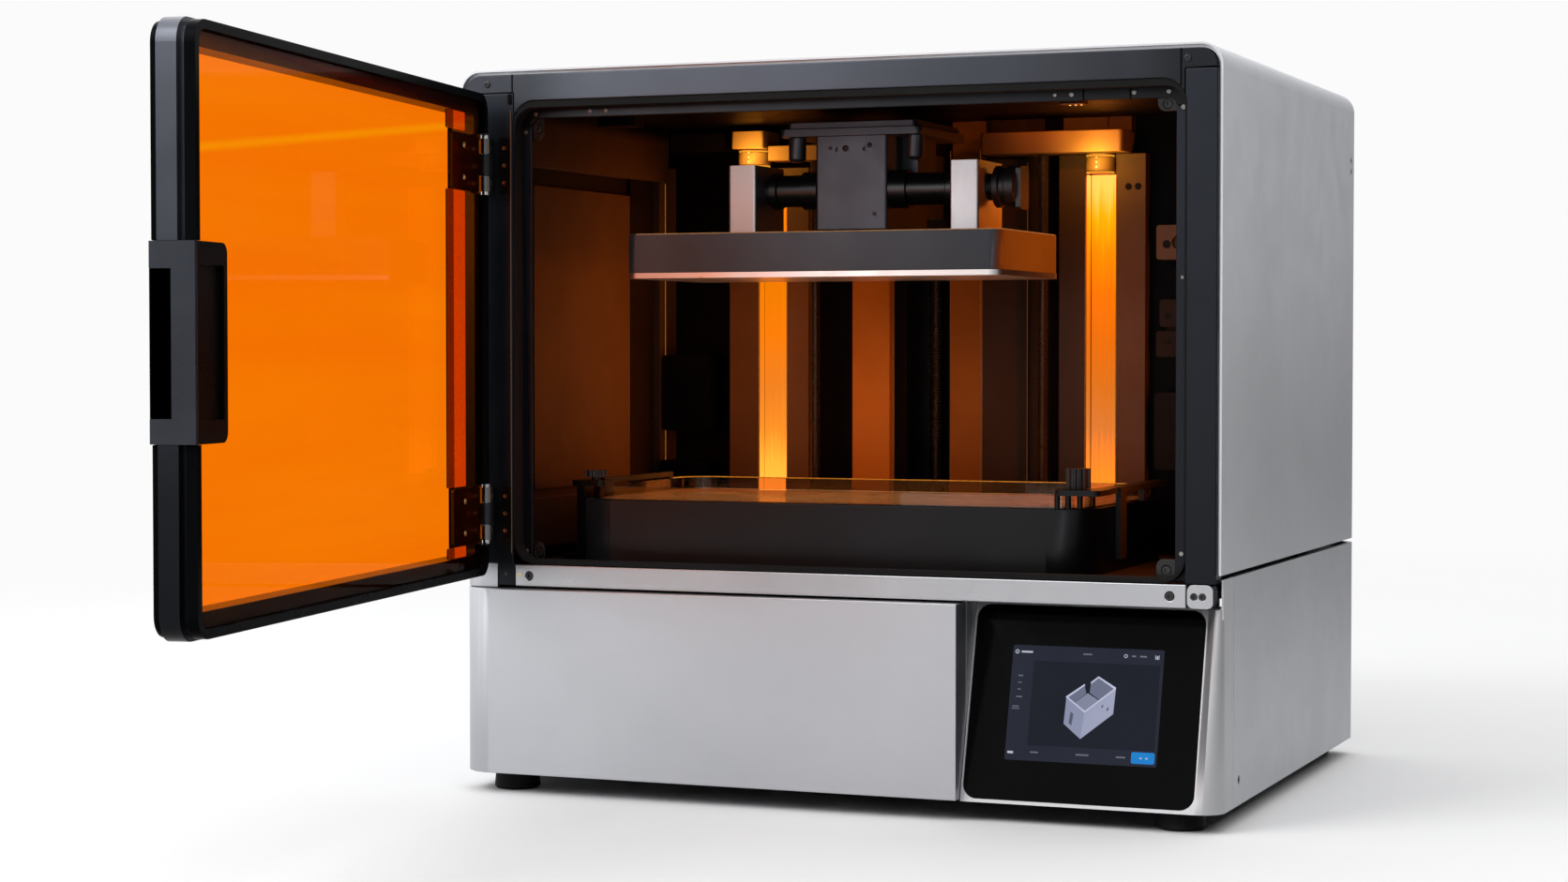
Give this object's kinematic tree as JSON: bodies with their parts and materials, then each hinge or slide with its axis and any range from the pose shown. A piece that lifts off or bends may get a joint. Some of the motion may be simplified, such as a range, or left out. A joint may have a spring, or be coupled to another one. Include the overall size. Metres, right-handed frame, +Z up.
{
  "type": "resin printer",
  "caption": "Bench-top resin printer with an open amber side-hinged door, lit print chamber, screw-driven build platform over a shallow tank, and a tilted touch screen in its base.",
  "frame": {"origin": "on the table plane, midway between the four feet, under the middle of the case", "axes": "+Z up, +X to the right seen from the front, +Y from the front to the back; the door stands open toward -Y on the left"},
  "size_m": [0.52, 0.8945, 0.482],
  "materials": {
    "silver_skin": "satin bead-blasted, clear anodised",
    "silver_trim": "brushed and anodised",
    "graphite_frame": "satin graphite anodised",
    "black_steel": "fine-texture black powder coat",
    "black_anodised": "satin black anodised",
    "steel": "ground",
    "dark_steel": "black oxide",
    "brass": "turned",
    "black_plastic": "fine moulded texture",
    "rubber": "matt",
    "amber_acrylic": "clear polished",
    "amber_diffuser": "opal, lit",
    "smoked_clear": "clear polished",
    "mask_glass": "polished",
    "film": "taut clear film",
    "black_glass": "polished black",
    "display": "lit display",
    "board": "green board"
  },
  "bodies": {
    "chassis": {"base_pan": "black_steel", "base_shell": "silver_skin", "case_screws": "dark_steel", "chamber_floor": "black_steel", "chamber_liner": "black_steel", "chamber_rear_wall": "black_steel", "corner_gussets": "black_steel", "display_panel": "display", "exposure_window": "mask_glass", "feet": "rubber", "foot_screws": "dark_steel", "frame_left_stile": "graphite_frame", "frame_right_stile": "graphite_frame", "frame_top_rail": "graphite_frame", "front_cover": "silver_skin", "hinge_leaves_frame": "black_anodised", "hinge_pins": "steel", "lamp_brackets": "black_anodised", "light_columns": "black_steel", "light_engine": "black_anodised", "light_strips": "amber_diffuser", "main_board": "board", "opening_seal": "rubber", "plinth": "black_anodised", "power_inlet": "black_plastic", "power_supply": "silver_trim", "rear_panel": "black_steel", "screen_bezel": "black_glass", "screen_surround": "silver_skin", "service_blocks": "black_steel", "sill_end_cap": "silver_trim", "sill_rail": "silver_trim", "tank_clamps": "black_anodised", "tank_film": "film", "tank_tray": "smoked_clear", "tie_rods": "steel", "upper_shell": "silver_skin", "z_motor": "black_plastic", "z_rails": "steel", "z_tower": "black_anodised"},
    "door": {"door_frame": "graphite_frame", "door_cover": "graphite_frame", "door_ring": "black_anodised", "door_panel": "amber_acrylic", "door_handle": "graphite_frame", "hinge_leaves_door": "black_anodised"},
    "carriage": {"z_carriage": "black_anodised", "lead_nut": "brass", "arm_block": "black_anodised", "arm_top_plate": "black_anodised", "trunnions": "dark_steel"},
    "platform": {"platform_body": "black_anodised", "build_surface": "silver_trim", "platform_posts": "silver_trim"},
    "screw": {"lead_screw": "steel"},
    "level_lock": {"level_knob": "black_plastic"},
    "tank_knob_left": {"clamp_knob_left": "black_plastic"},
    "tank_knob_right": {"clamp_knob_right": "black_plastic"},
    "fan": {"fan_rotor": "black_plastic"},
    "rocker": {"power_switch": "black_plastic"}
  },
  "joints": [
    {"name": "door_hinge", "type": "hinge", "parent": "chassis", "child": "door", "pos_m": [-0.2385, -0.211, 0.3055], "axis": [0, 0, 1], "range_deg": [-29.5, 80.4]},
    {"name": "z_slide", "type": "slide", "parent": "chassis", "child": "carriage", "axis": [0, 0, 1], "range_m": [-0.1465, 0.004]},
    {"name": "platform_tilt", "type": "hinge", "parent": "carriage", "child": "platform", "pos_m": [-0.027, -0.069, 0.405], "axis": [1, 0, 0], "range_deg": [-1.5, 1.5]},
    {"name": "screw_turn", "type": "hinge", "parent": "chassis", "child": "screw", "pos_m": [-0.027, 0.096, 0.3], "axis": [0, 0, 1], "continuous": true},
    {"name": "level_lock_turn", "type": "hinge", "parent": "carriage", "child": "level_lock", "pos_m": [0.0714, -0.069, 0.405], "axis": [1, 0, 0], "range_deg": [-75, 75]},
    {"name": "tank_knob_left_turn", "type": "hinge", "parent": "chassis", "child": "tank_knob_left", "pos_m": [-0.191, -0.141, 0.2085], "axis": [0, 0, 1], "range_deg": [0, 540]},
    {"name": "tank_knob_right_turn", "type": "hinge", "parent": "chassis", "child": "tank_knob_right", "pos_m": [0.152, -0.144, 0.2085], "axis": [0, 0, 1], "range_deg": [0, 540]},
    {"name": "fan_spin", "type": "hinge", "parent": "chassis", "child": "fan", "pos_m": [0.15, 0.185, 0.33], "axis": [0, 1, 0], "continuous": true},
    {"name": "rocker_tip", "type": "hinge", "parent": "chassis", "child": "rocker", "pos_m": [-0.161, 0.201, 0.06], "axis": [1, 0, 0], "range_deg": [-8, 8]}
  ],
  "couplings": [
    {"joint": "screw_turn", "follows": "z_slide", "rad_per_m": -785.4}
  ]
}
